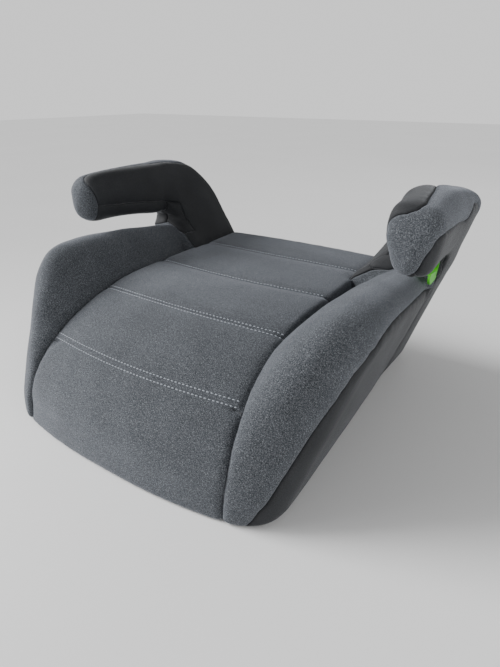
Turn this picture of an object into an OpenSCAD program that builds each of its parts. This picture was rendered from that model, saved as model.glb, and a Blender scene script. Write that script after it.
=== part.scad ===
// Backless child booster seat: a ribbed plastic shell with two armrest cores, foam padding
// and a sewn fabric cover. The lap belt runs through the open slot under each armrest.
// Millimetres, +Z up, front of the seat towards -Y, origin at the middle of the base.
// Outlines are drawn as [across, up] or [along, up] points with a rounding radius each.

/* [Seat] */
// Height of the seat surface above the base
seat_h = 134; // [126:1:142]
// Half width of the middle panel, from the centre line to its seam
panel_half_w = 120; // [114:1:124]
// Front of the seat, measured forward from the origin
front_reach = 196; // [190:1:202]
// Back of the seat, measured backward from the origin
back_reach = 200; // [194:1:206]
// Half width of the base
base_half_w = 168; // [160:1:174]

/* [Side bolsters] */
// Height of the bolster's crest
crest_h = 166; // [160:1:168]
// Distance of the bolster's crest from the centre line
crest_x = 170; // [164:1:176]
// Distance of the bolster's widest line from the centre line
bolster_out_x = 211; // [206:1:214]

/* [Armrests] */
// Height of the top of the armrest
arm_top_h = 240; // [234:1:244]
// Distance of the armrest's outer side from the centre line
arm_out_x = 229; // [224:1:234]
// Front tip of the armrest, measured forward from the origin
arm_reach = 27; // [20:1:34]
// Height of the belt slot
slot_gap = 18; // [16:1:20]
// Back end of the belt slot, measured backward from the origin
slot_root = 115; // [105:1:120]

/* [Cover and foam] */
// Thickness of the sewn fabric with its backing
fabric_t = 2.5; // [2:0.5:3]
// Thickness of the seat foam
seat_foam_t = 24; // [18:1:28]
// Thickness of the foam on the armrests
arm_foam_t = 6; // [4:1:7]

/* [Shell] */
// Wall thickness of the moulded shell
wall = 3; // [2.5:0.5:4]
// Thickness of the ribs under the shell
rib_t = 2.5; // [2:0.5:3]
// Number of ribs that run from side to side
cross_ribs = 3; // [2:1:4]

/* [Lap-belt guide] */
// Thickness of the belt guide
guide_t = 2.5; // [2:0.5:3]

/* [Hidden] */
LEFT = -1;
RIGHT = 1;
far = 500;                                   // reach of a cutting block, past everything
arc_step = 9;                                // degrees between points on a rounded corner

melange = [0.29, 0.31, 0.34];
smooth = [0.17, 0.18, 0.18];
guide_green = [0.37, 0.76, 0.23];
foam_yellow = [0.90, 0.86, 0.72];
shell_black = [0.10, 0.10, 0.11];
steel = [0.72, 0.73, 0.75];

// waterfall front of the middle panel: a quarter of an ellipse
fall_y = -15;                                // where the flat seat ends and the fall begins
fall_z = 20;                                 // height of the ellipse's centre

// topstitched lines that divide the middle panel, from the front
stitch_y = [-150, -71, 25, 126];

seam_gap = 0.1;                              // between the edge strip and the back piece

// armrest
slot_floor = crest_h - 13;                   // lowest level of the belt slot at its root
slot_r = slot_gap / 2;                       // the slot's round end
arm_under_h = 183;                           // underside of the armrest at its tip
post_y = slot_root - 3;                      // bolster ends and armrest post begins
arm_in_x = 183;                              // innermost line of the armrest
arm_mid_h = 207;                             // height of that line
core_inset = fabric_t + arm_foam_t;            // fabric and foam over the hard parts, on every side
core_front = 4;                                // front end of the hard core of the armrest
core_waist_y = 155;                            // the core is slimmer inside from here forwards
guide_x = 202;                                 // centre of the belt guide's screw
arm_seam_x = 204;                            // seam between inner panel and top strip
arm_seam_h = 221;                            // height of the seam between top strip and outer side
cap_y = -4;                                  // seam behind the front cap

// shell
deck_h = seat_h - fabric_t - seat_foam_t;
shoulder_h = 100;                            // shell under the bolsters and armrest posts
front_foam_t = 12;
base_z = fabric_t;                           // the shell's rim stands on the hem
boss_xy = [[158, 140], [158, 178], [176, 160]];
screw_r = 2.5;
screw_head_r = 4.5;
screw_head_h = 3;
screw_bite = 22;

// ---- outline helpers ----
function unit(v) = v / norm(v);
// points of the corner at b, rounded with radius r, on the way from a to c
function corner(a, b, c, r) =
    r <= 0 ? [b] :
    let (u = unit(a - b), w = unit(c - b), half = acos(u * w) / 2,
         centre = b + unit(u + w) * r / sin(half),
         from = b + u * r / tan(half) - centre, to = b + w * r / tan(half) - centre,
         a0 = atan2(from[1], from[0]), turn = atan2(to[1], to[0]) - a0,
         sweep = turn > 180 ? turn - 360 : turn < -180 ? turn + 360 : turn,
         steps = ceil(abs(sweep) / arc_step))
    [for (i = [0 : steps]) centre + r * [cos(a0 + sweep * i / steps), sin(a0 + sweep * i / steps)]];
function flat(p) = [p[0], p[1]];
function rounded(pts) = let (n = len(pts))
    [for (i = [0 : n - 1]) each corner(flat(pts[(i + n - 1) % n]), flat(pts[i]), flat(pts[(i + 1) % n]), pts[i][2])];

// a side-view outline [y, z] made into a solid between two distances from the centre line
module side_extrude(x0, x1) {
    translate([x0, 0, 0]) rotate([90, 0, 90]) linear_extrude(x1 - x0) children();
}
// a front-view outline [x, z] made into a solid between two places along the seat
module front_extrude(y0, y1) {
    translate([0, y1, 0]) rotate([90, 0, 0]) linear_extrude(y1 - y0) children();
}
// the same solid on the left or on the right
module on_side(side) {
    $side = side;
    mirror([side == LEFT ? 1 : 0, 0, 0]) children();
}
module above(z) {
    translate([-far, -far, z]) cube([2 * far, 2 * far, far]);
}
module between_y(y0, y1) {
    translate([-far, y0, -far]) cube([2 * far, y1 - y0, 2 * far]);
}

// ---- outlines; inset shrinks each one evenly ----
module seat_outline(inset) {
    fall_a = front_reach + fall_y - inset;
    fall_b = seat_h - fall_z - inset;
    polygon(concat(
        [[back_reach - inset, -1], [back_reach - inset, seat_h - inset]],
        [for (a = [90 : 6 : 180]) [fall_y + fall_a * cos(a), fall_z + fall_b * sin(a)]],
        [[fall_y - fall_a + 1, 8], [fall_y - fall_a + 5, -1]]));
}
module bolster_outline(inset) {
    offset(delta = -inset) polygon(rounded([
        [-188, -30, 0], [-192, 30, 40], [-104, crest_h - 2, 38], [-45, crest_h + 3, 80],
        [post_y, slot_floor - 2, 0], [back_reach, slot_floor - 2, 0], [back_reach, -30, 0]]));
}
module bolster_section(inset) {
    offset(delta = -inset) polygon(rounded([
        [panel_half_w - 30, -30, 0], [base_half_w, -30, 0], [bolster_out_x, crest_h - 18, 14],
        [bolster_out_x - 8, crest_h - 8, 14], [crest_x, crest_h, 26], [panel_half_w + 26, crest_h - 5, 20],
        [panel_half_w, seat_h - 3, 0], [panel_half_w - 30, seat_h - 30, 0]]));
}
module arm_outline(inset) {
    offset(delta = -inset) polygon(rounded([
        [post_y, -30, 0], [back_reach, -30, 0], [back_reach, 190, 40], [150, arm_top_h + 2, 50],
        [15, arm_top_h, 40], [-arm_reach, 226, 28], [-arm_reach, arm_under_h, 18], [45, arm_under_h - 4, 60],
        [slot_root - 1, slot_floor + slot_gap, slot_r], [slot_root - 1, slot_floor - 1, slot_r - 1],
        [post_y, slot_floor - 2, 0]]));
}
module arm_section(inset) {
    offset(delta = -inset) polygon(rounded([
        [arm_in_x, arm_mid_h, 8], [arm_in_x + 4, arm_top_h, 16], [arm_seam_x + 8, arm_top_h + 1, 14],
        [arm_out_x, arm_top_h - 12, 14], [arm_out_x, 204, 18], [arm_out_x - 6, slot_floor + 10, 10],
        [arm_in_x + 15, slot_floor + 10, 4]]));
}
module post_section(inset) {
    offset(delta = -inset) polygon(rounded([
        [panel_half_w - 30, -30, 0], [base_half_w - 8, -30, 0], [bolster_out_x, 145, 60],
        [arm_out_x, 212, 30], [arm_out_x, arm_top_h - 12, 14], [arm_seam_x + 8, arm_top_h + 1, 14],
        [arm_in_x + 1, arm_top_h, 14], [panel_half_w, seat_h - 3, 0], [panel_half_w - 30, seat_h - 30, 0]]));
}
module plan_outline(half_w, front, front_r, inset) {
    polygon(rounded([
        [-half_w + inset, back_reach - inset, 25], [-half_w + inset, -front + inset, front_r],
        [half_w - inset, -front + inset, front_r], [half_w - inset, back_reach - inset, 25]]));
}
// rounded tip of the armrest, seen from above
module arm_plan(inset) {
    offset(delta = -inset) polygon(rounded([
        [arm_in_x, -arm_reach, 20], [arm_out_x, -arm_reach, 20], [arm_out_x + 20, far, 0], [0, far, 0],
        [0, post_y, 0], [arm_in_x, post_y, 0]]));
}
// outward lean of the sides, with front corners that round off more towards the top
module flare(inset) {
    hull() {
        linear_extrude(0.1) plan_outline(base_half_w, front_reach + 10, 58, inset);
        translate([0, 0, crest_h - 18]) linear_extrude(0.1) plan_outline(bolster_out_x, 112, 96, inset);
        translate([0, 0, arm_top_h + 1]) linear_extrude(0.1) plan_outline(arm_out_x, 112, 60, inset);
    }
}

// ---- outer forms of the three padded areas, each with its inset ----
module seat_form(inset) {
    side_extrude(-panel_half_w, panel_half_w) seat_outline(inset);
}
module bolster_form(inset) {
    intersection() {
        flare(inset);
        side_extrude(panel_half_w, far) bolster_outline(inset);
        front_extrude(-far, post_y) bolster_section(inset);
        above(0);
    }
}
module arm_form(inset) {
    intersection() {
        flare(inset);
        side_extrude(panel_half_w, far) arm_outline(inset);
        linear_extrude(far) arm_plan(inset);
        union() {
            front_extrude(post_y, far) post_section(inset);
            front_extrude(-far, post_y) arm_section(inset);
        }
        above(0);
    }
}
// fabric skin of the bolster and of the armrest
module bolster_skin() {
    difference() {
        bolster_form(0);
        bolster_form(fabric_t);
    }
}
// what the armrest's fabric encloses; no fabric parts the post from the bolster
module arm_filling() {
    arm_form(fabric_t);
    intersection() {
        translate([0, -fabric_t, 0]) arm_form(fabric_t);
        translate([0, post_y, 0]) cube([far, 2 * fabric_t, slot_floor - 3]);
    }
}
module arm_skin() {
    difference() {
        arm_form(0);
        arm_filling();
        guide_screw_hole(screw_r);
    }
}
// filled outer form of the moulded shell
module shell_form(inset) {
    front = front_reach - fabric_t - front_foam_t;
    raised_h = crest_h - 30;
    back = back_reach - core_inset;
    intersection() {
        above(base_z);
        union() {
            side_extrude(-panel_half_w, panel_half_w) offset(delta = -inset) polygon(rounded([
                [-front, -30, 0], [-front, deck_h, 100], [back, deck_h, 0], [back, -30, 0]]));
            for (side = [LEFT, RIGHT]) on_side(side) intersection() {
                flare(core_inset + inset);
                side_extrude(panel_half_w - 12, far) offset(delta = -inset) polygon(rounded([
                    [-170, -30, 0], [-158, 30, 20], [-88, raised_h, 35], [post_y - 6, raised_h, 6],
                    [post_y - 6, shoulder_h, 0], [far, shoulder_h, 0], [far, -30, 0]]));
                front_extrude(-far, far) offset(delta = -inset) polygon([
                    [0, -30], [far, -30], [far, raised_h], [160, raised_h],
                    [panel_half_w + 12, deck_h], [0, deck_h]]);
            }
        }
    }
}
// only the right armrest carries a guide
module guide_screw_hole(r) {
    if ($side == RIGHT)
        translate([guide_x, slot_root - 20, slot_floor + slot_r]) rotate([-90, 0, 0])
            cylinder(r = r, h = 45, $fn = 32);
}
module at_bosses() {
    for (p = boss_xy) translate([p[0], p[1], 0]) children();
}

// ---- shell and arm cores ----
module seat_shell() {
    rib_foot = 14;
    color(shell_black) difference() {
        union() {
            difference() {
                shell_form(0);
                translate([0, 0, -fabric_t - 1]) intersection() {
                    shell_form(wall);
                    translate([-far, -far, 0]) cube([2 * far, 2 * far, far]);
                }
                shell_form(wall);
            }
            intersection() {
                shell_form(wall / 2);
                above(rib_foot);
                union() {
                    for (i = [1 : cross_ribs])
                        translate([-far, -front_reach + i * 2 * front_reach / (cross_ribs + 1), 0])
                            cube([2 * far, rib_t, far]);
                    for (x = [-panel_half_w / 2, 0, panel_half_w / 2])
                        translate([x - rib_t / 2, -far, 0]) cube([rib_t, 2 * far, far]);
                }
            }
        }
        for (side = [LEFT, RIGHT]) on_side(side) at_bosses() cylinder(r = screw_r + 0.25, h = far, $fn = 48);
    }
}
// space that the core fills, from the shell's shoulder to the armrest
module core_form() {
    intersection() {
        arm_form(core_inset);
        union() {
            translate([panel_half_w + arm_foam_t, core_waist_y, 0]) cube([far, far, far]);
            front_extrude(core_front, core_waist_y) polygon([
                [140, 0], [140, 139], [173, 185], [186, 222], [186, far], [far, far], [far, 0]]);
        }
    }
}
module arm_core(side) {
    color(shell_black) on_side(side) difference() {
        intersection() {
            core_form();
            above(shoulder_h);
        }
        // open pocket on the outer side, above the solid foot
        translate([wall + 3, 0, 0]) intersection() {
            arm_form(core_inset + wall);
            above(shoulder_h + screw_bite + wall);
            between_y(core_front + wall, far);
        }
        at_bosses() translate([0, 0, shoulder_h - 1]) cylinder(r = screw_r, h = screw_bite, $fn = 48);
        guide_screw_hole(screw_r - 0.5);
    }
}
module arm_core_left() { arm_core(LEFT); }
module arm_core_right() { arm_core(RIGHT); }
module arm_core_screws() {
    color(steel) for (side = [LEFT, RIGHT]) on_side(side) at_bosses()
        translate([0, 0, shoulder_h - wall - screw_head_h]) {
            cylinder(r = screw_head_r, h = screw_head_h, $fn = 32);
            translate([0, 0, screw_head_h]) cylinder(r = screw_r, h = screw_bite, $fn = 32);
        }
}

// ---- lap-belt guide ----
module belt_guide() {
    ring_out = slot_r - 0.3;
    ring_in = ring_out - guide_t;
    upper_leg = 12;
    lower_leg = 24;
    lower_rise = 3.1;
    lip_x = 206;
    lip_r = 7.5;
    color(guide_green) on_side(RIGHT) translate([0, slot_root - 1 - slot_r, slot_floor + slot_r]) difference() {
        union() {
            side_extrude(196, lip_x) difference() {
                union() {
                    circle(r = ring_out, $fn = 48);
                    translate([-upper_leg, 0]) square([upper_leg, ring_out]);
                    polygon([[0, -ring_out], [-lower_leg, -ring_out + lower_rise], [-lower_leg, 0], [0, 0]]);
                }
                belt_passage(ring_in, lower_leg, lower_rise);
            }
            side_extrude(lip_x, lip_x + guide_t) difference() {
                union() {
                    hull() {
                        translate([-1, -ring_out]) circle(r = lip_r, $fn = 48);
                        translate([-lower_leg + lip_r - 2, -ring_out]) circle(r = lip_r, $fn = 48);
                    }
                    circle(r = ring_out, $fn = 48);
                }
                belt_passage(ring_in, lower_leg, lower_rise);
                translate([-far, ring_in]) square([far, far]);
            }
        }
        translate([0, slot_r + 1 - slot_root, -slot_floor - slot_r]) guide_screw_hole(screw_r - 0.4);
    }
}
// side view of the way through the guide, with a floor that rises towards the front
module belt_passage(r, leg, rise) {
    circle(r = r, $fn = 48);
    polygon([[0, -r], [-leg, -r + rise], [-far, -r + rise], [-far, r], [0, r]]);
}
module belt_guide_screw() {
    head_back = slot_root - 5.2;
    head_h = 2.2;
    color(steel)
        translate([guide_x, head_back - head_h, slot_floor + slot_r]) rotate([-90, 0, 0]) {
            cylinder(r = 4, h = head_h, $fn = 32);
            translate([0, 0, head_h]) cylinder(r = screw_r - 0.5, h = 26, $fn = 32);
        }
}

// ---- foam ----
module seat_foam() {
    color(foam_yellow) difference() {
        intersection() {
            seat_form(fabric_t);
            above(base_z);
        }
        shell_form(0);
    }
}
module bolster_foam(side) {
    color(foam_yellow) on_side(side) difference() {
        intersection() {
            bolster_form(fabric_t);
            above(base_z);
        }
        shell_form(0);
    }
}
module bolster_foam_left() { bolster_foam(LEFT); }
module bolster_foam_right() { bolster_foam(RIGHT); }
module arm_foam(side) {
    color(foam_yellow) on_side(side) difference() {
        intersection() {
            arm_filling();
            above(base_z);
        }
        shell_form(0);
        intersection() {
            core_form();
            above(shoulder_h);
        }
        guide_screw_hole(screw_r);
    }
}
module arm_foam_left() { arm_foam(LEFT); }
module arm_foam_right() { arm_foam(RIGHT); }

// ---- cover: middle panel ----
module seat_skin(y0, y1) {
    color(melange) intersection() {
        difference() {
            seat_form(0);
            seat_form(fabric_t);
        }
        between_y(y0, y1);
        above(0);
    }
}
module cover_front() { seat_skin(-far, stitch_y[0]); }
module cover_seat_front() { seat_skin(stitch_y[0], stitch_y[1]); }
module cover_seat_middle() { seat_skin(stitch_y[1], stitch_y[2]); }
module cover_seat_rear() { seat_skin(stitch_y[2], stitch_y[3]); }
module cover_seat_edge() { seat_skin(stitch_y[3], back_reach - fabric_t - seam_gap); }

// ---- cover: outer pieces ----
// the area below the seam that runs from the front corner up to the belt slot
module side_area() {
    side_extrude(panel_half_w + 32, far) polygon([
        [-176, -1], [-166, 30], [-146, 58], [-118, 80], [-70, 112], [-33, crest_h - 21],
        [34, crest_h - 12], [post_y, slot_floor - 3], [post_y + 1, far], [far, far], [far, -1]]);
}
// the outer face of the armrest and its post, below the top strip, and the back of the post
module outer_face_area() {
    front_extrude(slot_root + slot_r, far) polygon([
        [panel_half_w + 20, -1], [panel_half_w + 20, seat_h - 6], [arm_in_x + 13, arm_mid_h - 1],
        [arm_seam_x - 2, arm_seam_h], [arm_seam_x, arm_seam_h + 4], [far, arm_seam_h], [far, -1]]);
    front_extrude(cap_y, far) polygon([
        [panel_half_w + 36, -1], [panel_half_w + 36, 60], [arm_out_x - 17, arm_under_h - 12],
        [arm_out_x - 17, arm_seam_h], [far, arm_seam_h], [far, -1]]);
}
module inner_face_area() {
    front_extrude(cap_y, back_reach - fabric_t) polygon([
        [0, seat_h - 6], [panel_half_w + 20, seat_h - 6], [arm_in_x + 13, arm_mid_h - 1],
        [arm_seam_x - 2, arm_seam_h], [arm_seam_x, arm_seam_h + 4], [arm_seam_x, far], [0, far]]);
}
module top_strip_area() {
    between_y(-far, cap_y);
    front_extrude(cap_y - 1, far) polygon([
        [arm_seam_x, far], [arm_seam_x, arm_seam_h + 4], [arm_seam_x + 6, arm_seam_h], [far, arm_seam_h],
        [far, far]]);
}
module root_area() {
    translate([0, slot_root - 14, slot_floor - 2]) cube([200, 22, slot_gap + 3]);
}
module cover_back() {
    color(smooth) intersection() {
        union() {
            difference() {
                seat_form(0);
                seat_form(fabric_t);
            }
            for (side = [LEFT, RIGHT]) on_side(side) arm_skin();
        }
        between_y(back_reach - fabric_t, far);
        translate([-far, -far, 0]) cube([2 * far, 2 * far, arm_seam_h]);
    }
}
module cover_bolster(side) {
    color(melange) on_side(side) difference() {
        bolster_skin();
        side_area();
    }
}
module cover_bolster_left() { cover_bolster(LEFT); }
module cover_bolster_right() { cover_bolster(RIGHT); }
module cover_side(side) {
    color(smooth) on_side(side) intersection() {
        bolster_skin();
        side_area();
    }
}
module cover_side_left() { cover_side(LEFT); }
module cover_side_right() { cover_side(RIGHT); }
module cover_arm_outer(side) {
    color(smooth) on_side(side) difference() {
        intersection() {
            arm_skin();
            outer_face_area();
        }
        between_y(back_reach - fabric_t, far);
        root_area();
    }
}
module cover_arm_outer_left() { cover_arm_outer(LEFT); }
module cover_arm_outer_right() { cover_arm_outer(RIGHT); }
module cover_arm_top(side) {
    color(melange) on_side(side) intersection() {
        arm_skin();
        top_strip_area();
    }
}
module cover_arm_top_left() { cover_arm_top(LEFT); }
module cover_arm_top_right() { cover_arm_top(RIGHT); }
module cover_arm_inner(side) {
    color(smooth) on_side(side) difference() {
        intersection() {
            arm_skin();
            inner_face_area();
        }
        root_area();
    }
}
module cover_arm_inner_left() { cover_arm_inner(LEFT); }
module cover_arm_inner_right() { cover_arm_inner(RIGHT); }
module cover_arm_under(side) {
    color(smooth) on_side(side) difference() {
        arm_skin();
        top_strip_area();
        inner_face_area();
        outer_face_area();
        root_area();
        between_y(back_reach - fabric_t, far);
        translate([0, post_y, -1]) cube([far, far, slot_floor + 1]);
    }
}
module cover_arm_under_left() { cover_arm_under(LEFT); }
module cover_arm_under_right() { cover_arm_under(RIGHT); }
module slot_gusset(side) {
    color(smooth) on_side(side) intersection() {
        arm_skin();
        root_area();
    }
}
module slot_gusset_left() { slot_gusset(LEFT); }
module slot_gusset_right() { slot_gusset(RIGHT); }

// ---- cover: hem under the rim of the shell ----
module cover_hem() {
    color(smooth) difference() {
        intersection() {
            union() {
                seat_form(fabric_t);
                for (side = [LEFT, RIGHT]) on_side(side) {
                    bolster_form(fabric_t);
                    arm_filling();
                }
            }
            translate([-far, -far, 0]) cube([2 * far, 2 * far, fabric_t]);
        }
        linear_extrude(far, center = true) plan_outline(base_half_w, front_reach, 50, 24);
    }
}
module hem_elastic() {
    color(shell_black) translate([0, 0, fabric_t]) linear_extrude(4) difference() {
        plan_outline(base_half_w, front_reach, 50, 22);
        plan_outline(base_half_w, front_reach, 50, 26);
    }
}

seat_shell();
arm_core_left();
arm_core_right();
arm_core_screws();
belt_guide();
belt_guide_screw();
seat_foam();
bolster_foam_left();
bolster_foam_right();
arm_foam_left();
arm_foam_right();
cover_front();
cover_seat_front();
cover_seat_middle();
cover_seat_rear();
cover_seat_edge();
cover_back();
cover_bolster_left();
cover_bolster_right();
cover_side_left();
cover_side_right();
cover_arm_outer_left();
cover_arm_outer_right();
cover_arm_top_left();
cover_arm_top_right();
cover_arm_inner_left();
cover_arm_inner_right();
cover_arm_under_left();
cover_arm_under_right();
slot_gusset_left();
slot_gusset_right();
cover_hem();
hem_elastic();
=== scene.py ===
import math

import bpy
import numpy as np
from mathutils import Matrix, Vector
from mathutils.bvhtree import BVHTree
from mathutils.kdtree import KDTree


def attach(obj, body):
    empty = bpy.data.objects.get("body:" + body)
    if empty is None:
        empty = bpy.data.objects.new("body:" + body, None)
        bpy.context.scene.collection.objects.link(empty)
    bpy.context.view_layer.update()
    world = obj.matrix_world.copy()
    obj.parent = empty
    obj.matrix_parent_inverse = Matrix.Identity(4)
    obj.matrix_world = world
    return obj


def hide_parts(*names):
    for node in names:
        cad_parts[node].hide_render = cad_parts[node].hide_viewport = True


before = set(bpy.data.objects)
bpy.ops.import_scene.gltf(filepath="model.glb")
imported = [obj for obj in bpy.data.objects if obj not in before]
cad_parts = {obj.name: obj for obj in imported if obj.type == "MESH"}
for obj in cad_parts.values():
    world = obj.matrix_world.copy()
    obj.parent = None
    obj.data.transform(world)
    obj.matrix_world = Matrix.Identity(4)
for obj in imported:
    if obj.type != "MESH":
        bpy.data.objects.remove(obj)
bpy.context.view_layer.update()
BODY = "root"
MM = 0.001

# ---------------------------------------------------------------- form of the padded cover
# The cover is one closed surface, the zero level of whole(x, y, z), in millimetres. The left
# and right halves are made as mirror images, so every function takes the distance from the centre
# line, and fold() brings in what the sewn cover has uneven.


# how far a table's curve runs straight on past its first and last points
RUN_ON = 60


def smooth_table(pts, width):
    """A curve through the points, softened over that width."""
    a = np.array(pts, float)
    t = np.arange(a[0, 0] - RUN_ON, a[-1, 0] + RUN_ON, 1.0)
    v = np.interp(t, a[:, 0], a[:, 1])
    first = (a[1, 1] - a[0, 1]) / (a[1, 0] - a[0, 0])
    last = (a[-1, 1] - a[-2, 1]) / (a[-1, 0] - a[-2, 0])
    v = np.where(t < a[0, 0], a[0, 1] + first * (t - a[0, 0]), v)
    v = np.where(t > a[-1, 0], a[-1, 1] + last * (t - a[-1, 0]), v)
    r = int(width * 3)
    k = np.exp(-0.5 * (np.arange(-r, r + 1) / width) ** 2)
    v = np.convolve(np.pad(v, r, mode="edge"), k / k.sum(), "valid")
    return lambda q: np.interp(q, t, v)


def smax(a, b, k):
    """The larger of the two, rounded over k where they meet."""
    h = np.maximum(k - np.abs(a - b), 0) / k
    return np.maximum(a, b) + h * h * k * 0.25


def smin(a, b, k):
    """The smaller of the two, rounded over k where they meet."""
    return -smax(-a, -b, k)


def step(a, b, t):
    """Smoothly from 0 where t is a to 1 where it is b."""
    u = np.clip((t - a) / (b - a), 0, 1)
    return u * u * (3 - 2 * u)


def spline(pts, n=8):
    """A closed smooth line through the points."""
    p = np.array(pts, float)
    out = []
    for i in range(len(p)):
        a, b, c, d = p[i - 1], p[i], p[(i + 1) % len(p)], p[(i + 2) % len(p)]
        for s in np.linspace(0, 1, n, endpoint=False):
            out.append(0.5 * (2 * b + (c - a) * s + (2 * a - 5 * b + 4 * c - d) * s ** 2
                              + (3 * b - a - 3 * c + d) * s ** 3))
    return np.array(out)


def field(outline, lo, hi, cell=1.5):
    """Signed distance to a closed outline, kept on a flat grid and looked up there."""
    p = np.asarray(outline, float)
    gx = np.arange(lo[0], hi[0] + cell, cell)
    gy = np.arange(lo[1], hi[1] + cell, cell)
    X, Y = np.meshgrid(gx, gy, indexing="ij")
    best = np.full(X.shape, 1e9)
    inside = np.zeros(X.shape, bool)
    for a, b in zip(p, np.roll(p, -1, 0)):
        e = b - a
        t = np.clip(((X - a[0]) * e[0] + (Y - a[1]) * e[1]) / (e @ e), 0, 1)
        best = np.minimum(best, np.hypot(X - a[0] - t * e[0], Y - a[1] - t * e[1]))
        if a[1] != b[1]:
            cross = (a[1] > Y) != (b[1] > Y)
            inside ^= cross & (X < (b[0] - a[0]) * (Y - a[1]) / (b[1] - a[1]) + a[0])
    D = np.where(inside, -best, best)

    def look(u, v):
        fu = np.clip((u - lo[0]) / cell, 0, len(gx) - 1.001)
        fv = np.clip((v - lo[1]) / cell, 0, len(gy) - 1.001)
        i, j = fu.astype(int), fv.astype(int)
        a, b = fu - i, fv - j
        return ((D[i, j] * (1 - a) + D[i + 1, j] * a) * (1 - b)
                + (D[i, j + 1] * (1 - a) + D[i + 1, j + 1] * a) * b)
    return look


# middle panel, [along, up] on the centre line; its front falls away along an ellipse
PANEL_HALF = 122.0
FALL_Y, FALL_Z, FALL_A, FALL_B = -15, 20, 181, 114
seat_pts = [(200, -12), (200, 126)]
seat_pts += [(200 - 8 * (1 - math.cos(t)), 126 + 8 * math.sin(t)) for t in (0.52, 1.05)]
seat_pts += [(192 - d, 134) for d in (0, 60, 120, 160)]
seat_pts += [(FALL_Y + FALL_A * math.cos(math.radians(a)), FALL_Z + FALL_B * math.sin(math.radians(a)))
             for a in range(90, 181, 4)]
seat_pts += [(-198.5, 10), (-201, 3), (-202, -12)]
seat_side = field(seat_pts, (-230, -20), (230, 180))
panel_w = smooth_table([(0, 131), (40, 130), (80, 126.5), (110, 121.5), (134, 120)], 6)
crown = smooth_table([(-196, 9), (-150, 9), (-80, 6), (0, 4), (120, 3.5), (190, 2.5), (200, 2)], 12)


def seat(x, y, z):
    """The middle panel, crowned across and as wide as its seams are apart."""
    w = panel_w(z)
    drop = crown(y) * (np.minimum(x, w + 6) / PANEL_HALF) ** 2.4
    return smax(seat_side(y, z) + drop, x - w - 3, 8)


# bolster: how far out its side is, how far forward its front is, and the radius between the two, by
# height; how far the side is drawn in and how high the crest is, along; and the top's shape across
WAIST_TOP = 130
side_x = smooth_table([(-20, 163), (0, 168), (40, 179.5), (90, 194), (140, 208.5), (170, 214), (192, 219),
                       (214, 223), (230, 227), (250, 230)], 6)
front_y = smooth_table([(-20, -193), (0, -191), (25, -187), (60, -174), (93, -160.5), (121, -150),
                        (148, -137), (170, -128)], 6)
corner_r = smooth_table([(0, 42), (25, 46), (60, 57), (93, 70), (121, 79), (148, 82), (180, 84)], 6)
waist = smooth_table([(-180, 1), (-138, 1.5), (-60, 0), (0, -1), (99, -5), (150, -3), (205, 0)], 10)
crest_z = smooth_table([(-160, 123), (-140, 141), (-120, 155), (-97, 166.5), (-75, 170.5), (-50, 171.5),
                        (-25, 170.5), (21, 166), (60, 161), (89, 157), (112, 153), (200, 148)], 5)
cross = smooth_table([(100, -74), (120, -50), (134, -34), (143, -23), (154, -12), (166, -4), (177, 0),
                      (189, -3), (203, -10), (215, -21), (230, -42)], 3)


def plan(x, y, z):
    """The bolster's outline from above, at each height."""
    r = corner_r(z)
    u = x - waist(y) * (1 - step(0, WAIST_TOP, z)) - side_x(z) + r
    v = front_y(z) + r - y
    both = np.hypot(np.maximum(u, 0), np.maximum(v, 0)) - r
    return np.where((u > 0) & (v > 0), both, np.maximum(u, v) - r)


def bolster(x, y, z):
    """The bolster, and the padded side below the armrest."""
    top = (z - crest_z(y) - cross(x)) * 0.82
    d = smax(plan(x, y, z) * 0.93, top, 20)
    d = smax(d, panel_w(z) - 1.0 - x, 8)
    return smax(d, y - 192, 10)


# armrest and its post, [along, up] and then [across, up] at the tip, mid-arm, post front, post back
arm_side = field(spline([
    (-25, 210), (-22.5, 220), (-17, 229), (-8, 235.5), (10, 239.5), (31, 241.5), (60, 242.5), (86, 243),
    (110, 242.5), (130, 241), (148, 238), (163, 232), (176, 221.5), (186, 208), (193, 192), (197, 172),
    (199, 150), (199.5, 120), (199.5, 80), (199.5, 40), (199.5, -25), (150, -25), (100, -25), (96, 60),
    (93, 118), (95, 133), (101, 144), (106, 150.5), (110, 154), (113.5, 158.5), (114.5, 163), (112, 167),
    (106, 169), (92, 170.5), (70, 173.5), (45, 176.5), (20, 179), (-5, 179.5), (-16, 181.5), (-24, 189),
    (-27, 199)], 5), (-60, -30), (260, 270))
SECTION = ((90, -30), (270, 290))
arm_tip = field(spline([
    (188, 208), (189.5, 224), (195, 235.5), (204, 240), (214, 237.5), (224, 230), (230.5, 219), (230, 204),
    (226, 191), (217, 183.5), (204, 182.5), (194, 192)]), *SECTION)
arm_mid = field(spline([
    (177, 188), (176, 206), (177, 224), (182, 235), (192, 240), (205, 240.5), (217, 236.5), (226, 228),
    (229, 216), (225, 199), (220, 184), (211, 171.5), (194, 169), (182, 175)]), *SECTION)
OUTER = [(227, 228), (229.5, 215), (223.5, 194), (215, 165), (209, 140), (190, 90), (171.5, 40), (161, -5),
         (160, -25), (110, -25)]
INNER_FOOT = [(60, -25), (100, 60), (112, 118)]
post_front = field(spline(INNER_FOOT + [
    (119, 133), (130, 143), (143, 156), (156, 172), (165, 188), (171, 204), (175.5, 221),
    (181, 236), (191, 242.5), (205, 243), (217, 238.5)] + OUTER), *SECTION)
post_back = field(spline(INNER_FOOT + [
    (119, 133), (134, 158), (150, 184), (171, 218), (179, 232), (186, 240), (197, 243), (209, 242),
    (219, 236.5)] + OUTER), *SECTION)


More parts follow.
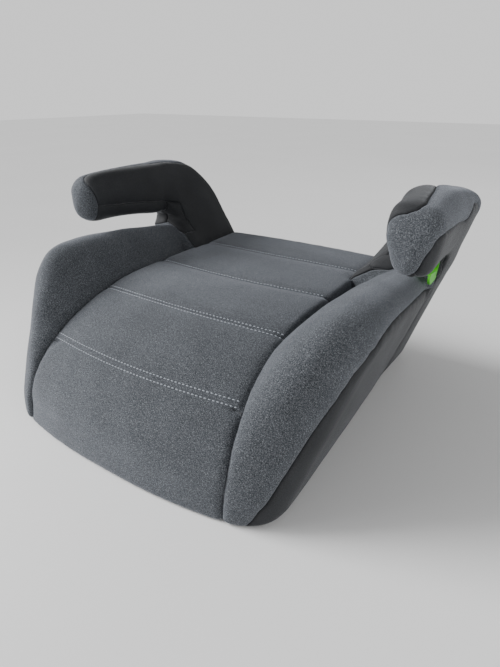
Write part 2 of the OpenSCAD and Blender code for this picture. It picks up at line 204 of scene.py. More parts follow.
def arm(x, y, z):
    """The armrest with its post: four sections, each turning into the next, within the side outline."""
    wx = x - waist(y) * (1 - step(0, WAIST_TOP, z))
    to_mid, to_post, to_back = step(0, 90, y), step(98, 122, y), step(116, 172, y)
    s = arm_tip(x, z) * (1 - to_mid) + arm_mid(x, z) * to_mid
    # below the belt slot the post begins further forward
    to_post = np.maximum(to_post, step(172, 160, z) * step(84, 96, y))
    s = s * (1 - to_post) + (post_front(wx, z) * (1 - to_back) + post_back(wx, z) * to_back) * to_post
    # the tip rounds in over its last 29 mm
    s = s + 12 * np.clip((2 - y) / 29, 0, 1.2) ** 2.6
    return smax(arm_side(y, z), s, 9) - 0.6


# how much further left the middle panel lies, how much taller and wider the right armrest is and
# how much deeper the left one is towards their tips
PANEL_SHIFT, TALLER, DEEPER, WIDER = 4.0, 11.0, 6.0, 6.5


def fold(x, y, z):
    """Distance from the centre line, place along the seat, and height, as the even form has them."""
    across = np.abs(x + PANEL_SHIFT * step(165, 135, np.abs(x)))
    tip = (x > 0) * step(208, 186, across) * step(175, 190, z) * step(130, 40, y)
    rise = TALLER * (x > 0) * step(183, 212, z) * step(150, 50, y)
    drop = DEEPER * (x < 0) * step(168, 178, z) * step(210, 184, z) * step(70, 0, y)
    return across + WIDER * tip, y, z - rise + drop


def whole(x, y, z):
    """The whole cover: below zero inside, zero on its surface."""
    x, y, z = fold(x, y, z)
    d = smin(seat(x, y, z), smin(bolster(x, y, z), arm(x, y, z), 3), 2.0)
    return smax(d, -z, 6)


# ---------------------------------------------------------------- surface of the form
LOW, HIGH = (-238, -212, -7), (238, 212, 250)


def toward(V, e=0.4):
    """The move that brings each point onto the surface, and the surface's direction there."""
    g = np.empty_like(V)
    for k in range(3):
        a, b = V.copy(), V.copy()
        a[:, k] += e
        b[:, k] -= e
        g[:, k] = (whole(*a.T) - whole(*b.T)) / (2 * e)
    s = whole(*V.T) / np.maximum((g ** 2).sum(1), 0.15)
    return g * np.clip(s, -1.5, 1.5)[:, None]


def surface(h):
    """Points and quads of the form, about h millimetres apart: one point in each cell that it crosses."""
    ax = [np.arange(l, u + h, h) for l, u in zip(LOW, HIGH)]
    n = [len(a) for a in ax]
    D = np.empty(n, np.float32)
    Y, Z = np.meshgrid(ax[1], ax[2], indexing="ij")
    for i, x in enumerate(ax[0]):
        D[i] = whole(np.full(Y.shape, x), Y, Z)
    S = D < 0
    count = np.zeros([k - 1 for k in n], np.int8)
    corners = [(a, b, c) for a in (0, 1) for b in (0, 1) for c in (0, 1)]
    for a, b, c in corners:
        count += S[a:n[0] - 1 + a, b:n[1] - 1 + b, c:n[2] - 1 + c]
    cells = np.argwhere((count > 0) & (count < 8))
    index = np.full(count.shape, -1, np.int32)
    index[tuple(cells.T)] = np.arange(len(cells))
    total, hits = np.zeros((len(cells), 3)), np.zeros(len(cells))
    for a in corners:
        for k in range(3):
            if a[k]:
                continue
            b = list(a)
            b[k] = 1
            ia, ib = cells + np.array(a), cells + np.array(b)
            da, db = D[tuple(ia.T)], D[tuple(ib.T)]
            m = (da < 0) != (db < 0)
            p = ia.astype(float)
            p[:, k] += np.where(m, da / np.where(m, da - db, 1), 0)
            total[m] += p[m]
            hits[m] += 1
    V = total / hits[:, None] * h + np.array([a[0] for a in ax])
    quads = []
    for k in range(3):
        u, v = (k + 1) % 3, (k + 2) % 3
        low, high = [slice(None)] * 3, [slice(None)] * 3
        low[k], high[k] = slice(0, -1), slice(1, None)
        A, B = S[tuple(low)], S[tuple(high)]
        e = np.argwhere(A != B)
        e = e[(e[:, u] > 0) & (e[:, v] > 0) & (e[:, u] < n[u] - 1) & (e[:, v] < n[v] - 1)]
        ring = []
        for du, dv in ((-1, -1), (0, -1), (0, 0), (-1, 0)):
            c = e.copy()
            c[:, u] += du
            c[:, v] += dv
            ring.append(index[tuple(c.T)])
        q = np.stack(ring, 1)
        flip = ~A[tuple(e.T)]
        q[flip] = q[flip][:, ::-1]
        quads.append(q)
    for _ in range(4):
        V = V - toward(V)
    return V, np.concatenate(quads)


# ---------------------------------------------------------------- seams
def line(*pts):
    """Straight lines from point to point."""
    a = np.array(pts, float)
    return lambda t: np.interp(t, a[:, 0], a[:, 1])


# sewn lines across the seat: where each meets the panel's edge, and how far its middle bows forward
STITCH_Y, BOW = (-147.0, -66.0, 31.0, 127.0), (7.0, 9.0, 16.0, 10.0)
BACK_Y = 196.0
# melange cover above and in front, smooth cover below and behind: up the outer side
side_seam = line((-230, -60), (-184, -4), (-181, 6), (-177, 18), (-171, 28), (-162.5, 42), (-152, 57.5),
                 (-139, 74.5), (-125, 91), (-111, 106), (-97.5, 123), (-80, 138), (-60, 145.5), (-35, 147.5),
                 (-10, 146.5), (24, 143), (56, 140), (94, 136), (112, 133))
bolster_end = line((100, 92), (127, 97), (142, 101), (157, 103), (171, 108), (185, 111), (205, 106),
                   (260, 104))
slot_mid = line((-40, 176), (100, 161.5), (120, 161.5))
strip_low = line((-30, 170), (-23, 196), (-20.5, 203), (-18, 207), (-11, 212), (0, 213.5), (25, 211),
                 (52, 208), (90, 206.5), (108, 207.5), (116, 214), (123, 221), (138, 225), (152, 223),
                 (172, 211), (187, 190), (198, 165))
strip_in = line((-18, 200), (-12, 208), (-1, 211), (21, 208), (49, 205), (76, 201), (107, 194), (126, 188),
                (154, 181), (200, 180))
cap_back = line((180, -9), (190, -8), (203, -9), (216, -13.5), (226, -17), (245, -17))
under_seam = line((-12, 202), (18, 198.5), (42, 196), (80, 191), (119, 184.5), (130, 183))
UNDER_X, GUSSET_X, GUSSET_Y, POST_Y = 214.0, 188.0, 103.0, 118.0
# the base's half width and half depth, where its middle lies, the hem's width and its opening's corners
BASE_X, BASE_Y, BASE_MIDDLE, HEM_W, HEM_R = 168, 198, 2, 24.0, 30.0
# the hem is what lies lower than this
HEM_Z = 0.9

(FRONT, SEAT_FRONT, SEAT_MIDDLE, SEAT_REAR, SEAT_EDGE, BACK, BOLSTER, SIDE, OUTER_ARM, TOP, INNER, UNDER,
 GUSSET, HEM, OPEN) = range(15)
# a point within this part of an edge's length from a seam moves onto it
SNAP = 0.22


def sewn_line(x, k):
    """How far along the seat sewn line k lies, that far from the centre line."""
    return STITCH_Y[k] - BOW[k] * (1 - np.minimum(np.abs(x) / PANEL_HALF, 1) ** 2)


def cut(V, T, L, f, where, fixed):
    """Splits the triangles that f = 0 crosses, among those that where marks.

    A free point close to the crossing moves onto it, so no sliver is left beside the seam."""
    V, f = V.copy(), f.copy()
    pick = T[where]
    e = np.sort(np.concatenate([pick[:, [0, 1]], pick[:, [1, 2]], pick[:, [2, 0]]]), 1)
    e = np.unique(e, axis=0)
    e = e[(f[e[:, 0]] > 0) != (f[e[:, 1]] > 0)]
    if not len(e):
        return V, T, L, f, fixed
    both = np.concatenate([e, e[:, ::-1]])
    t = f[both[:, 0]] / (f[both[:, 0]] - f[both[:, 1]])
    near = (t < SNAP) & ~fixed[both[:, 0]]
    both, t = both[near], t[near]
    order = np.argsort(-t, kind="stable")
    target = V.copy()
    target[both[order, 0]] = (V[both[order, 0]] * (1 - t[order, None]) + V[both[order, 1]] * t[order, None])
    moved = np.unique(both[:, 0])
    V = target
    f[moved] = 0
    fixed = fixed.copy()
    fixed[moved] = True
    sign = np.sign(f)
    sc = sign[T]
    hit = (sc.max(1) > 0) & (sc.min(1) < 0) & where
    keep_T, keep_L = [T[~hit]], [L[~hit]]
    # one corner on the seam: two triangles
    zero = hit & (sc == 0).any(1)
    full = hit & ~zero
    C, r = T[zero], np.arange(zero.sum())
    k = np.argmax(sc[zero] == 0, 1)
    z, a1, b1 = C[r, k], C[r, (k + 1) % 3], C[r, (k + 2) % 3]
    D, r = T[full], np.arange(full.sum())
    pos = sc[full] > 0
    lone = np.where(pos.sum(1) == 1, np.argmax(pos, 1), np.argmax(~pos, 1))
    a, b, c = D[r, lone], D[r, (lone + 1) % 3], D[r, (lone + 2) % 3]
    pairs = np.concatenate([np.stack([a1, b1], 1), np.stack([a, b], 1), np.stack([a, c], 1)])
    edges, at = np.unique(np.sort(pairs, 1), axis=0, return_inverse=True)
    at = at.reshape(-1) + len(V)
    fa, fb = f[edges[:, 0]], f[edges[:, 1]]
    t = (fa / (fa - fb))[:, None]
    new = V[edges[:, 0]] * (1 - t) + V[edges[:, 1]] * t
    V = np.concatenate([V, new])
    f = np.concatenate([f, np.zeros(len(new))])
    fixed = np.concatenate([fixed, np.ones(len(new), bool)])
    m = at[:len(C)]
    ab, ac = at[len(C):len(C) + len(D)], at[len(C) + len(D):]
    keep_T += [np.stack([z, a1, m], 1), np.stack([z, m, b1], 1), np.stack([a, ab, ac], 1),
               np.stack([ab, b, c], 1), np.stack([ab, c, ac], 1)]
    keep_L += [L[zero], L[zero], L[full], L[full], L[full]]
    return V, np.concatenate(keep_T), np.concatenate(keep_L), f, fixed


def hem_opening(x, y):
    """Distance to the rounded opening that the hem leaves underneath."""
    qx = np.abs(x) - (BASE_X - HEM_W - HEM_R)
    qy = np.abs(y - BASE_MIDDLE) - (BASE_Y - HEM_W - HEM_R)
    return np.hypot(np.maximum(qx, 0), np.maximum(qy, 0)) + np.minimum(np.maximum(qx, qy), 0) - HEM_R


def label(V, T):
    """Cuts the surface along every seam and says which cover piece each triangle belongs to."""
    L = np.zeros(len(T), int)
    fixed = np.zeros(len(V), bool)

    def split(fun, where, new, old=None):
        """Cuts the pieces in where along fun = 0. Above 0 they become new, and the rest become old."""
        nonlocal V, T, L, fixed
        f = fun(*fold(*V.T))
        V, T, L, f, fixed = cut(V, T, L, f, np.isin(L, where), fixed)
        side = f[T].sum(1) > 0
        mask = np.isin(L, where)
        L[mask & side] = new
        if old is not None:
            L[mask & ~side] = old

    SEAT, SIDES, ARM = 100, 101, 102
    split(lambda x, y, z: seat(x, y, z) - np.minimum(bolster(x, y, z), arm(x, y, z)), [0], SIDES, SEAT)
    split(lambda x, y, z: HEM_Z - z, [SEAT, SIDES], HEM)
    split(lambda x, y, z: -hem_opening(x, y), [HEM], OPEN)
    split(lambda x, y, z: y - BACK_Y, [SEAT, SIDES], BACK)
    # middle panel
    L[L == SEAT] = FRONT
    for k, new in enumerate((SEAT_FRONT, SEAT_MIDDLE, SEAT_REAR, SEAT_EDGE)):
        split(lambda x, y, z, k=k: y - sewn_line(x, k), [new - 1], new)
    # bolster and armrest
    split(lambda x, y, z: np.maximum(y - bolster_end(x), np.where(y > -40, z - slot_mid(y), -9)),
          [SIDES], ARM, BOLSTER)
    split(lambda x, y, z: np.minimum(side_seam(y) - z, np.where(y < -120, 9.0, x - 150)), [BOLSTER], SIDE)

    def strip_edge(x, y, z):
        """The seam between the top strip and the inner panel, and down the back of the post."""
        inner_line = 124 + (z - 134) * 0.62
        m = step(135, 172, y)
        return x - (strip_in(y) * (1 - m) + inner_line * m)

    def cap(x, y, z):
        """The edge of the tip's front cap, further forward low on its outer side."""
        lower = 17 * np.clip((x - 201) / 21, 0, 1) * np.clip((218 - z) / 30, 0, 1)
        return cap_back(z) - lower - y

    CAP, ABOVE = 103, 104
    split(cap, [ARM], CAP)
    split(lambda x, y, z: z - strip_low(y), [ARM], ABOVE)
    split(strip_edge, [ABOVE], TOP, INNER)
    split(lambda x, y, z: z - strip_low(y), [CAP], TOP)
    split(lambda x, y, z: np.minimum(x - UNDER_X, y + 13), [CAP], OUTER_ARM, TOP)
    # what is left of the arm: inner panel, underside, outer side
    split(lambda x, y, z: x - np.where(y < POST_Y, UNDER_X, 165 + (z - 134) * 0.35),
          [ARM], OUTER_ARM, INNER)
    split(lambda x, y, z: np.where(z > 148, np.minimum(under_seam(y) - z, POST_Y - y), -5),
          [INNER], UNDER)
    split(lambda x, y, z: np.minimum(y - GUSSET_Y, GUSSET_X - x), [UNDER], GUSSET)
    return V, T, L, fixed


def seam_points(V, T, L):
    """Points along the edges of every piece, in two lots: the panel's sewn lines, and the rest."""
    channel, other = [], []
    for k in np.unique(L):
        if k == OPEN:
            continue
        t = T[L == k]
        e = np.sort(np.concatenate([t[:, [0, 1]], t[:, [1, 2]], t[:, [2, 0]]]), 1)
        e, n = np.unique(e, axis=0, return_counts=True)
        e = e[n == 1]
        p = np.concatenate([V[e[:, 0]], V[e[:, 1]], (V[e[:, 0]] + V[e[:, 1]]) / 2])
        on = np.zeros(len(p), bool)
        if k <= SEAT_EDGE:
            for i in range(len(STITCH_Y)):
                x = p[:, 0] + PANEL_SHIFT
                on |= (np.abs(p[:, 1] - sewn_line(x, i)) < 0.6) & (np.abs(x) < 118)
        channel.append(p[on])
        other.append(p[~on])
    return np.concatenate(channel), np.concatenate(other)


def tree(points):
    kd = KDTree(len(points))
    for i, p in enumerate(points):
        kd.insert(p, i)
    kd.balance()
    return kd


def distance(points, V):
    """How far each of V is from the nearest of the points."""
    kd = tree(points)
    return np.array([kd.find(p)[2] for p in V])


def normals(V, T):
    n = np.cross(V[T[:, 1]] - V[T[:, 0]], V[T[:, 2]] - V[T[:, 0]])
    out = np.zeros_like(V)
    for k in range(3):
        np.add.at(out, T[:, k], n)
    return out / (np.linalg.norm(out, axis=1)[:, None] + 1e-12)


def triangles(Q):
    return np.concatenate([Q[:, [0, 1, 2]], Q[:, [0, 2, 3]]])


# ---------------------------------------------------------------- cloth: the cover puffs between its seams
# the coarse copy's cell, the furthest that a point may move, how far from a seam the seam holds, and
# the height below which the cover doesn't move
SIM_CELL, SIM_CAP, SIM_HOLD, SIM_LOW, SIM_FRAMES = 6.0, 4.5, 9.0, 4, 20


def puff():
    """Rest points of a coarse copy of the cover and how far the simulated padding moves each."""
    V, Q = surface(SIM_CELL)
    T = triangles(Q)
    W, T2, L2, _ = label(V, T)
    channel, other = seam_points(W, T2, L2)
    near = np.minimum(distance(channel, V), distance(other, V))
    hold = np.clip(1.15 - near / SIM_HOLD, 0, 1)
    hold[V[:, 2] < SIM_LOW] = 1
    me = bpy.data.meshes.new("pad_rest")
    me.from_pydata((V * MM).tolist(), [], Q.tolist())
    ob = bpy.data.objects.new("pad_sim", me)
    bpy.context.scene.collection.objects.link(ob)
    group = ob.vertex_groups.new(name="hold")
    for w in np.unique(np.round(hold, 2)):
        group.add(np.nonzero(np.round(hold, 2) == w)[0].tolist(), float(w), "REPLACE")
    mod = ob.modifiers.new("Cloth", "CLOTH")
    c = mod.settings
    c.quality = 6
    c.mass = 0.15
    c.tension_stiffness = c.compression_stiffness = 18
    c.shear_stiffness = 8
    c.bending_stiffness = 3
    c.use_pressure = True
    c.uniform_pressure_force = 4
    c.vertex_group_mass = "hold"
    c.pin_stiffness = 1
    c.effector_weights.gravity = 0
    mod.collision_settings.use_collision = False
    mod.point_cache.frame_start, mod.point_cache.frame_end = 1, SIM_FRAMES
    scene = bpy.context.scene
    for f in range(1, SIM_FRAMES + 1):
        scene.frame_set(f)
    done = ob.evaluated_get(bpy.context.evaluated_depsgraph_get())
    flat = np.empty(len(V) * 3)
    done.data.vertices.foreach_get("co", flat)
    move = flat.reshape(-1, 3) / MM - V
    scene.frame_set(1)
    bpy.data.objects.remove(ob)
    bpy.data.meshes.remove(me)
    size = np.linalg.norm(move, axis=1)[:, None] + 1e-9
    move *= np.minimum(size, SIM_CAP) / size
    # neighbours share their moves twice, so nothing of the coarse grid shows
    for _ in range(2):
        total, n = np.zeros_like(move), np.zeros(len(V))
        for i in range(4):
            for j in range(4):
                np.add.at(total, Q[:, i], move[Q[:, j]])
                np.add.at(n, Q[:, i], 1)
        move = total / n[:, None]
    return V, move


def carried(V, source, move):
    """The moves of the coarse copy at the points of the fine one."""
    kd = tree(source)
    out = np.zeros_like(V)
    for i, p in enumerate(V):
        near = kd.find_n(p, 5)
        w = np.array([1 / (d * d + 4.0) for _, _, d in near])
        out[i] = (move[[k for _, k, _ in near]] * w[:, None]).sum(0) / w.sum()
    return out


def ripple(V, length, seed):
    """Smooth waves of about that length, between -1 and 1."""
    rng = np.random.default_rng(seed)
    out = np.zeros(len(V))
    for _ in range(7):
        k = rng.normal(size=3)
        k *= 2 * np.pi / (length * rng.uniform(0.7, 1.4) * np.linalg.norm(k))
        out += np.sin(V @ k + rng.uniform(0, 2 * np.pi))
    return out / 4


def dip(d, waves):
    """How deep the surface sinks at that distance from a seam: (depth, width) of each wave."""
    return sum(deep * np.exp(-(d / wide) ** 2) for deep, wide in waves)


SEAM_DIP, CHANNEL_DIP = ((1.5, 1.1), (1.0, 5.5)), ((0.5, 0.9), (1.3, 8.0))
CELL = 2.3
V, Q = surface(CELL)
V, T, L, fixed = label(V, triangles(Q))
channel, other = seam_points(V, T, L)
# two more rows of points beside each seam, for the groove
for gap in (1.0, 2.6):
    near = np.minimum(distance(channel, V), distance(other, V))
    V, T, L, _, fixed = cut(V, T, L, near - gap, np.ones(len(T), bool), fixed)
to_channel, to_seam = distance(channel, V), distance(other, V)
N = normals(V, T)
move = carried(V, *puff())
groove = dip(to_seam, SEAM_DIP) + dip(to_channel, CHANNEL_DIP)
pucker = ripple(V, 13, 3) * 0.25 * np.exp(-(np.minimum(to_seam, to_channel * 1.5) / 7.0) ** 2)
loose = ripple(V, 55, 11) * 0.45 * step(3, 25, np.minimum(to_seam, to_channel))
low = step(0.5, 5, V[:, 2])
P = V + move + N * ((-groove + pucker + loose) * low)[:, None]
P[:, 2] = np.maximum(P[:, 2], 0.0)
P *= MM


# ---------------------------------------------------------------- materials
def nodes_of(name):
    """A new material, its node tree and its shader."""
    m = bpy.data.materials.new(name)
    m.use_nodes = True
    t = m.node_tree
    return m, t, t.nodes["Principled BSDF"]


def node(t, kind, **values):
    n = t.nodes.new(kind)
    for k, v in values.items():
        if k in n.inputs:
            n.inputs[k].default_value = v
        else:
            setattr(n, k, v)
    return n


def ramp(t, source, stops):
    """The colours at those places of a ramp, by a value."""
    r = t.nodes.new("ShaderNodeValToRGB")
    while len(r.color_ramp.elements) < len(stops):
        r.color_ramp.elements.new(0.5)
    for e, (at, c) in zip(r.color_ramp.elements, stops):
        e.position, e.color = at, (*c, 1)
    t.links.new(source, r.inputs["Fac"])
    return r.outputs["Color"]


def noise(t, coord, scale, detail=2.0, rough=0.5, stretch=None):
    if stretch:
        mp = node(t, "ShaderNodeMapping")
        mp.inputs["Scale"].default_value = stretch
        t.links.new(coord, mp.inputs["Vector"])
        coord = mp.outputs["Vector"]
    n = node(t, "ShaderNodeTexNoise", Scale=scale, Detail=detail, Roughness=rough)
    t.links.new(coord, n.inputs["Vector"])
    return n.outputs["Fac"]


def multiplied(t, a, b, factor):
    """Colour a times colour b, to that degree."""
    m = node(t, "ShaderNodeMix", data_type="RGBA", blend_type="MULTIPLY")
    m.inputs[0].default_value = factor
    t.links.new(a, m.inputs[6])
    t.links.new(b, m.inputs[7])
    return m.outputs[2]


def bump(t, bsdf, height, strength, depth, chain=None):
    b = node(t, "ShaderNodeBump", Strength=strength, Distance=depth)
    t.links.new(height, b.inputs["Height"])
    if chain is not None:
        t.links.new(chain, b.inputs["Normal"])
    t.links.new(b.outputs["Normal"], bsdf.inputs["Normal"])
    return b.outputs["Normal"]


def coordinates(t):
    return node(t, "ShaderNodeTexCoord").outputs["Object"]


def melange_fabric():
    m, t, b = nodes_of("melange_fabric")
    co = coordinates(t)
    fleck = noise(t, co, 1300, 2.0, 0.6)
    threads = noise(t, co, 1500, 1.5, 0.6, (1.0, 1.0, 0.45))
    cloud = noise(t, co, 26, 2.0)
    base = ramp(t, fleck, [(0.33, (0.022, 0.025, 0.031)), (0.47, (0.062, 0.068, 0.077)),
                           (0.58, (0.112, 0.120, 0.133)), (0.70, (0.235, 0.25, 0.27))])
    light = ramp(t, threads, [(0.35, (0.7, 0.7, 0.7)), (0.65, (1.2, 1.2, 1.2))])
    worn = ramp(t, cloud, [(0.3, (0.9, 0.9, 0.9)), (0.7, (1.08, 1.08, 1.08))])
    colour = multiplied(t, multiplied(t, base, light, 0.75), worn, 1.0)
    t.links.new(colour, b.inputs["Base Color"])
    b.inputs["Roughness"].default_value = 0.93
    b.inputs["Specular IOR Level"].default_value = 0.25
    b.inputs["Sheen Weight"].default_value = 0.35
    b.inputs["Sheen Roughness"].default_value = 0.45
    b.inputs["Sheen Tint"].default_value = (0.75, 0.8, 0.9, 1)
    first = bump(t, b, threads, 0.35, 0.0004)
    bump(t, b, fleck, 0.45, 0.0007, first)
    return m


def smooth_fabric():
    m, t, b = nodes_of("smooth_fabric")
    co = coordinates(t)
    grain = noise(t, co, 1500, 1.5, 0.55)
    rib = node(t, "ShaderNodeTexWave", Scale=260.0, Distortion=1.2, Detail=1.0)
    rib.bands_direction = "Y"
    t.links.new(co, rib.inputs["Vector"])
    cloud = noise(t, co, 22, 2.0)
    base = ramp(t, grain, [(0.3, (0.014, 0.015, 0.017)), (0.7, (0.034, 0.036, 0.040))])
    worn = ramp(t, cloud, [(0.3, (0.85, 0.85, 0.85)), (0.7, (1.12, 1.12, 1.12))])
    t.links.new(multiplied(t, base, worn, 1.0), b.inputs["Base Color"])
    b.inputs["Roughness"].default_value = 0.72
    b.inputs["Specular IOR Level"].default_value = 0.35
    b.inputs["Sheen Weight"].default_value = 0.3
    b.inputs["Sheen Roughness"].default_value = 0.35
    b.inputs["Sheen Tint"].default_value = (0.85, 0.88, 0.92, 1)
    first = bump(t, b, rib.outputs["Fac"], 0.2, 0.0003)
    bump(t, b, grain, 0.3, 0.0004, first)
    return m


def thread():
    m, t, b = nodes_of("thread")
    co = coordinates(t)
    twist = noise(t, co, 2200, 1.0)
    t.links.new(ramp(t, twist, [(0.3, (0.26, 0.29, 0.33)), (0.7, (0.52, 0.56, 0.62))]),
                b.inputs["Base Color"])
    b.inputs["Roughness"].default_value = 0.6
    b.inputs["Sheen Weight"].default_value = 0.2
    bump(t, b, twist, 0.4, 0.0002)
    return m


def plastic(name, dark, light, rough, grain, depth):
    m, t, b = nodes_of(name)
    co = coordinates(t)
    n = noise(t, co, grain, 2.0, 0.5)
    c = noise(t, co, 40, 2.0)
    t.links.new(ramp(t, c, [(0.3, dark), (0.7, light)]), b.inputs["Base Color"])
    t.links.new(ramp(t, n, [(0.2, (rough * 0.85,) * 3), (0.8, (min(1, rough * 1.15),) * 3)]),
                b.inputs["Roughness"])
    bump(t, b, n, 0.25, depth)
    return m


def steel():
    m, t, b = nodes_of("screw_steel")
    n = noise(t, coordinates(t), 900, 2.0)
    t.links.new(ramp(t, n, [(0.3, (0.52, 0.53, 0.55)), (0.7, (0.70, 0.71, 0.73))]),
                b.inputs["Base Color"])
    b.inputs["Metallic"].default_value = 1
    b.inputs["Roughness"].default_value = 0.35
    bump(t, b, n, 0.1, 0.0001)
    return m


def elastic():
    m, t, b = nodes_of("elastic_band")
    co = coordinates(t)
    w = node(t, "ShaderNodeTexWave", Scale=420.0, Distortion=0.6)
    w.bands_direction = "Z"
    t.links.new(co, w.inputs["Vector"])
    t.links.new(ramp(t, w.outputs["Fac"], [(0.2, (0.012, 0.012, 0.014)), (0.8, (0.05, 0.05, 0.055))]),
                b.inputs["Base Color"])
    b.inputs["Roughness"].default_value = 0.8
    bump(t, b, w.outputs["Fac"], 0.4, 0.0004)
    return m


MELANGE, SMOOTH, THREAD = melange_fabric(), smooth_fabric(), thread()
SHELL = plastic("shell_plastic", (0.014, 0.014, 0.016), (0.022, 0.022, 0.024), 0.55, 1400, 0.0003)
GUIDE = plastic("guide_plastic", (0.070, 0.45, 0.012), (0.085, 0.53, 0.020), 0.5, 700, 0.0001)
STEEL, ELASTIC = steel(), elastic()


# ---------------------------------------------------------------- cover pieces
# how thick the pieces are above, and lower down, where the shell is close
SKIN, SKIN_LOW = 6.0, 2.2
depth = (SKIN_LOW + (SKIN - SKIN_LOW) * step(85, 120, V[:, 2])) * MM
INSIDE = P - N * depth[:, None]


def piece(name, key, side, material, stands_for):
    """One sewn piece of the cover, as thick as the fabric and the foam that is sewn to it."""
    t = T[L == key]
    if side:
        t = t[P[t].mean(1)[:, 0] * side > 0]
    used, inverse = np.unique(t, return_inverse=True)
    t = inverse.reshape(-1, 3)
    n = len(used)
    edges = np.concatenate([t[:, [0, 1]], t[:, [1, 2]], t[:, [2, 0]]])
    _, first, times = np.unique(np.sort(edges, 1), axis=0, return_index=True, return_counts=True)
    rim = edges[first[times == 1]]
    wall = np.stack([rim[:, 1], rim[:, 0], rim[:, 0] + n, rim[:, 1] + n], 1)
    me = bpy.data.meshes.new(name)
    me.from_pydata(np.concatenate([P[used], INSIDE[used]]).tolist(), [],
                   t.tolist() + (t[:, ::-1] + n).tolist() + wall.tolist())
    me.polygons.foreach_set("use_smooth", [True] * len(me.polygons))
    me.update()
    me.set_sharp_from_angle(angle=math.radians(60))
    ob = bpy.data.objects.new(name, me)
    bpy.context.scene.collection.objects.link(ob)
    me.materials.append(material)
    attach(ob, BODY)
    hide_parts(*stands_for)
    return ob


PANEL = ((FRONT, "cover_front"), (SEAT_FRONT, "cover_seat_front"), (SEAT_MIDDLE, "cover_seat_middle"),
         (SEAT_REAR, "cover_seat_rear"), (SEAT_EDGE, "cover_seat_edge"))
made = {}
for key, cad in PANEL:
    stands = (cad, "seat_foam") if key == SEAT_MIDDLE else (cad,)
    made[cad] = piece("pad_" + cad[6:], key, 0, MELANGE, stands)
made["back"] = piece("pad_back", BACK, 0, SMOOTH, ("cover_back",))
made["hem"] = piece("hem_strip", HEM, 0, SMOOTH, ("cover_hem",))
for side, word in ((-1, "left"), (1, "right")):
    for key, name, material, slot, stands, fill in (
            (BOLSTER, "pad_bolster", MELANGE, "melange_fabric", ("cover_bolster", "bolster_foam"), 0.8),
            (SIDE, "pad_side", SMOOTH, "smooth_fabric", ("cover_side",), 0.6),
            (OUTER_ARM, "pad_arm_outer", SMOOTH, "smooth_fabric", ("cover_arm_outer",), 0.6),
            (TOP, "pad_arm_top", MELANGE, "melange_fabric", ("cover_arm_top", "arm_foam"), 0.8),
            (INNER, "pad_arm_inner", SMOOTH, "smooth_fabric", ("cover_arm_inner",), 0.7),
            (UNDER, "pad_arm_under", SMOOTH, "smooth_fabric", ("cover_arm_under",), 0.6),
            (GUSSET, "pad_slot_gusset", SMOOTH, "smooth_fabric", ("slot_gusset",), 0.5)):
        full = f"{name}_{word}"
        made[full] = piece(full, key, side, material, [f"{s}_{word}" for s in stands])

# ---------------------------------------------------------------- topstitching
# each row: its sewn line and how far in front of it the row runs
ROWS = ((0, 2.5), (0, -2.5), (1, 2.4), (1, -2.4), (2, -2.2), (3, -2.2))
# a stitch's length, the gap to the next, the thread's radius, and how far from the side seam a row ends
STITCH, GAP, THREAD_R, INSET = 2.6, 1.6, 0.5, 0.5
# a stitch's rings: place along it, size and height, as parts of the radius
RINGS = ((0.0, 0.25, -0.25), (0.1, 0.7, 0.3), (0.3, 1.0, 0.75), (0.7, 1.0, 0.75), (0.9, 0.7, 0.3),
         (1.0, 0.25, -0.25))
ROUND = 6


def on_panel(bvh, x, k, ahead):
    """The point of the panel under that place of a row, and the direction away from the panel."""
    y = float(sewn_line(x, k)) - ahead
    c = max(FALL_Y - y, 0)
    z = FALL_Z + FALL_B * math.sqrt(max(0, 1 - (c / FALL_A) ** 2))
    n = Vector((0, -c / FALL_A ** 2, (z - FALL_Z) / FALL_B ** 2)).normalized()
    hit, _, _, _ = bvh.ray_cast(Vector((x - PANEL_SHIFT, y, z)) * MM + n * 0.02, -n, 0.05)
    return hit, n


def stitches():
    """Every stitch as a short capsule that lies on the panel, in one object."""
    points, tris = [], []
    for _, cad in PANEL:
        me = made[cad].data
        base = len(points)
        points += [v.co.copy() for v in me.vertices]
        tris += [[base + i for i in p.vertices] for p in me.polygons]
    bvh = BVHTree.FromPolygons(points, tris)
    verts, faces = [], []
    for k, ahead in ROWS:
        c = max(FALL_Y - STITCH_Y[k], 0)
        reach = float(panel_w(FALL_Z + FALL_B * math.sqrt(1 - (c / FALL_A) ** 2))) - INSET
        for i in range(int(2 * reach / (STITCH + GAP))):
            x = -reach + i * (STITCH + GAP)
            (a, up), (b, _) = on_panel(bvh, x, k, ahead), on_panel(bvh, x + STITCH, k, ahead)
            if a is None or b is None:
                continue
            across = (b - a).cross(up).normalized()
            first = len(verts)
            for s, size, lift in RINGS:
                centre = a.lerp(b, s) + up * (lift * THREAD_R * MM * 0.7)
                for j in range(ROUND):
                    t = j * math.pi / 3
                    verts.append(centre + (across * math.cos(t) * 1.1 + up * math.sin(t))
                                 * (size * THREAD_R * MM))
            for r in range(len(RINGS) - 1):
                q = first + r * ROUND
                for j in range(ROUND):
                    faces.append((q + j, q + (j + 1) % ROUND, q + ROUND + (j + 1) % ROUND, q + ROUND + j))
            faces.append([first + j for j in reversed(range(ROUND))])
            faces.append([first + (len(RINGS) - 1) * ROUND + j for j in range(ROUND)])
    me = bpy.data.meshes.new("topstitching")
    me.from_pydata([tuple(v) for v in verts], [], faces)
    me.polygons.foreach_set("use_smooth", [True] * len(me.polygons))
    ob = bpy.data.objects.new("topstitching", me)
    bpy.context.scene.collection.objects.link(ob)
    me.materials.append(THREAD)
    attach(ob, BODY)
    return ob


stitches()

# ---------------------------------------------------------------- hard parts that keep their CAD shape
for name, material in (("seat_shell", SHELL), ("arm_core_left", SHELL), ("arm_core_right", SHELL),
                       ("arm_core_screws", STEEL), ("belt_guide_screw", STEEL), ("belt_guide", GUIDE),
                       ("hem_elastic", ELASTIC)):
    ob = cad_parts[name]
    for s in ob.material_slots:
        s.material = material

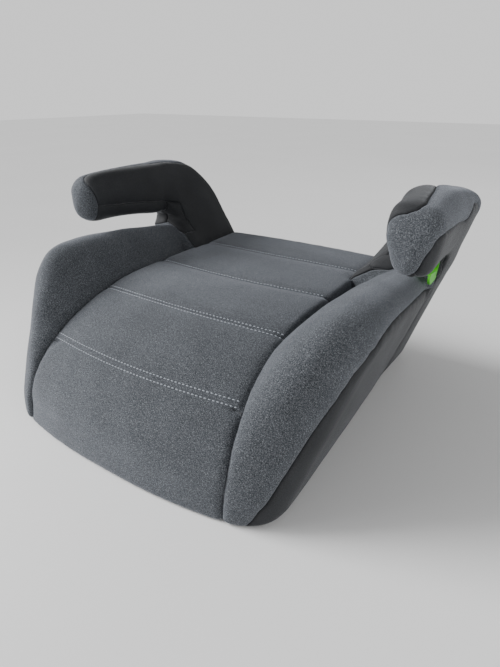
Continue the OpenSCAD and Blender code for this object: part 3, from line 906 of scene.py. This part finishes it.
# ---------------------------------------------------------------- floor, light and camera
FLOOR_R, FLOOR_Z = 6.0, -0.0005
me = bpy.data.meshes.new("floor")
me.from_pydata([(-FLOOR_R, -FLOOR_R, FLOOR_Z), (FLOOR_R, -FLOOR_R, FLOOR_Z), (FLOOR_R, FLOOR_R, FLOOR_Z),
                (-FLOOR_R, FLOOR_R, FLOOR_Z)], [], [(0, 1, 2, 3)])
floor = bpy.data.objects.new("floor", me)
bpy.context.scene.collection.objects.link(floor)
m, t, b = nodes_of("floor")
pale = ramp(t, noise(t, coordinates(t), 3, 2.0), [(0.3, (0.90, 0.90, 0.90)), (0.7, (0.92, 0.92, 0.92))])
t.links.new(pale, b.inputs["Base Color"])
b.inputs["Roughness"].default_value = 0.9
me.materials.append(m)


def lamp(name, place, aim, size, power):
    """A round white lamp of that width and wattage."""
    data = bpy.data.lights.new(name, "AREA")
    data.shape, data.size, data.energy = "DISK", size, power
    ob = bpy.data.objects.new(name, data)
    ob.location = place
    ob.rotation_mode = "QUATERNION"
    ob.rotation_quaternion = (Vector(aim) - Vector(place)).to_track_quat("-Z", "Y")
    bpy.context.scene.collection.objects.link(ob)


# where the sun stands, seen from the seat, its strength and how wide and so how soft it is
SUN_FROM, SUN_POWER, SUN_WIDTH = (-0.83, -0.22, 0.52), 3.8, math.radians(26)
sun = bpy.data.objects.new("key", bpy.data.lights.new("key", "SUN"))
sun.data.energy, sun.data.angle = SUN_POWER, SUN_WIDTH
sun.rotation_mode = "QUATERNION"
sun.rotation_quaternion = Vector(SUN_FROM).to_track_quat("Z", "Y")
bpy.context.scene.collection.objects.link(sun)
lamp("front_left", (-0.45, -0.55, 0.32), (-0.15, -0.1, 0.12), 0.4, 2.6)
lamp("rim", (0.3, 1.6, 1.2), (0, 0, 0.15), 1.0, 2)
lamp("right", (1.3, -0.3, 0.5), (0.15, 0, 0.05), 0.9, 6)
# a dim white surround that lights the seat, and a bright one that the camera sees
world = bpy.data.worlds.new("studio")
world.use_nodes = True
t = world.node_tree
dim = t.nodes["Background"]
dim.inputs["Color"].default_value, dim.inputs["Strength"].default_value = (1, 1, 1, 1), 0.3
bright = node(t, "ShaderNodeBackground", Color=(1, 1, 1, 1), Strength=1.0)
switch, path = node(t, "ShaderNodeMixShader"), node(t, "ShaderNodeLightPath")
t.links.new(path.outputs["Is Camera Ray"], switch.inputs[0])
t.links.new(dim.outputs[0], switch.inputs[1])
t.links.new(bright.outputs[0], switch.inputs[2])
t.links.new(switch.outputs[0], t.nodes["World Output"].inputs["Surface"])
bpy.context.scene.world = world

# the photograph's camera, fitted to the seat: its direction, its lens in mm and its place in metres
AZIMUTH, ELEVATION, LENS, PLACE = math.radians(33), math.radians(27), 25.64, (0.306, -0.418, 0.3295)
back = Vector((math.sin(AZIMUTH) * math.cos(ELEVATION), -math.cos(AZIMUTH) * math.cos(ELEVATION),
               math.sin(ELEVATION)))
cam = bpy.data.objects.new("camera", bpy.data.cameras.new("camera"))
cam.data.lens = LENS
cam.data.clip_start, cam.data.clip_end = 0.02, 30
cam.location = PLACE
cam.rotation_mode = "QUATERNION"
cam.rotation_quaternion = (-back).to_track_quat("-Z", "Y")
bpy.context.scene.collection.objects.link(cam)
bpy.context.scene.camera = cam
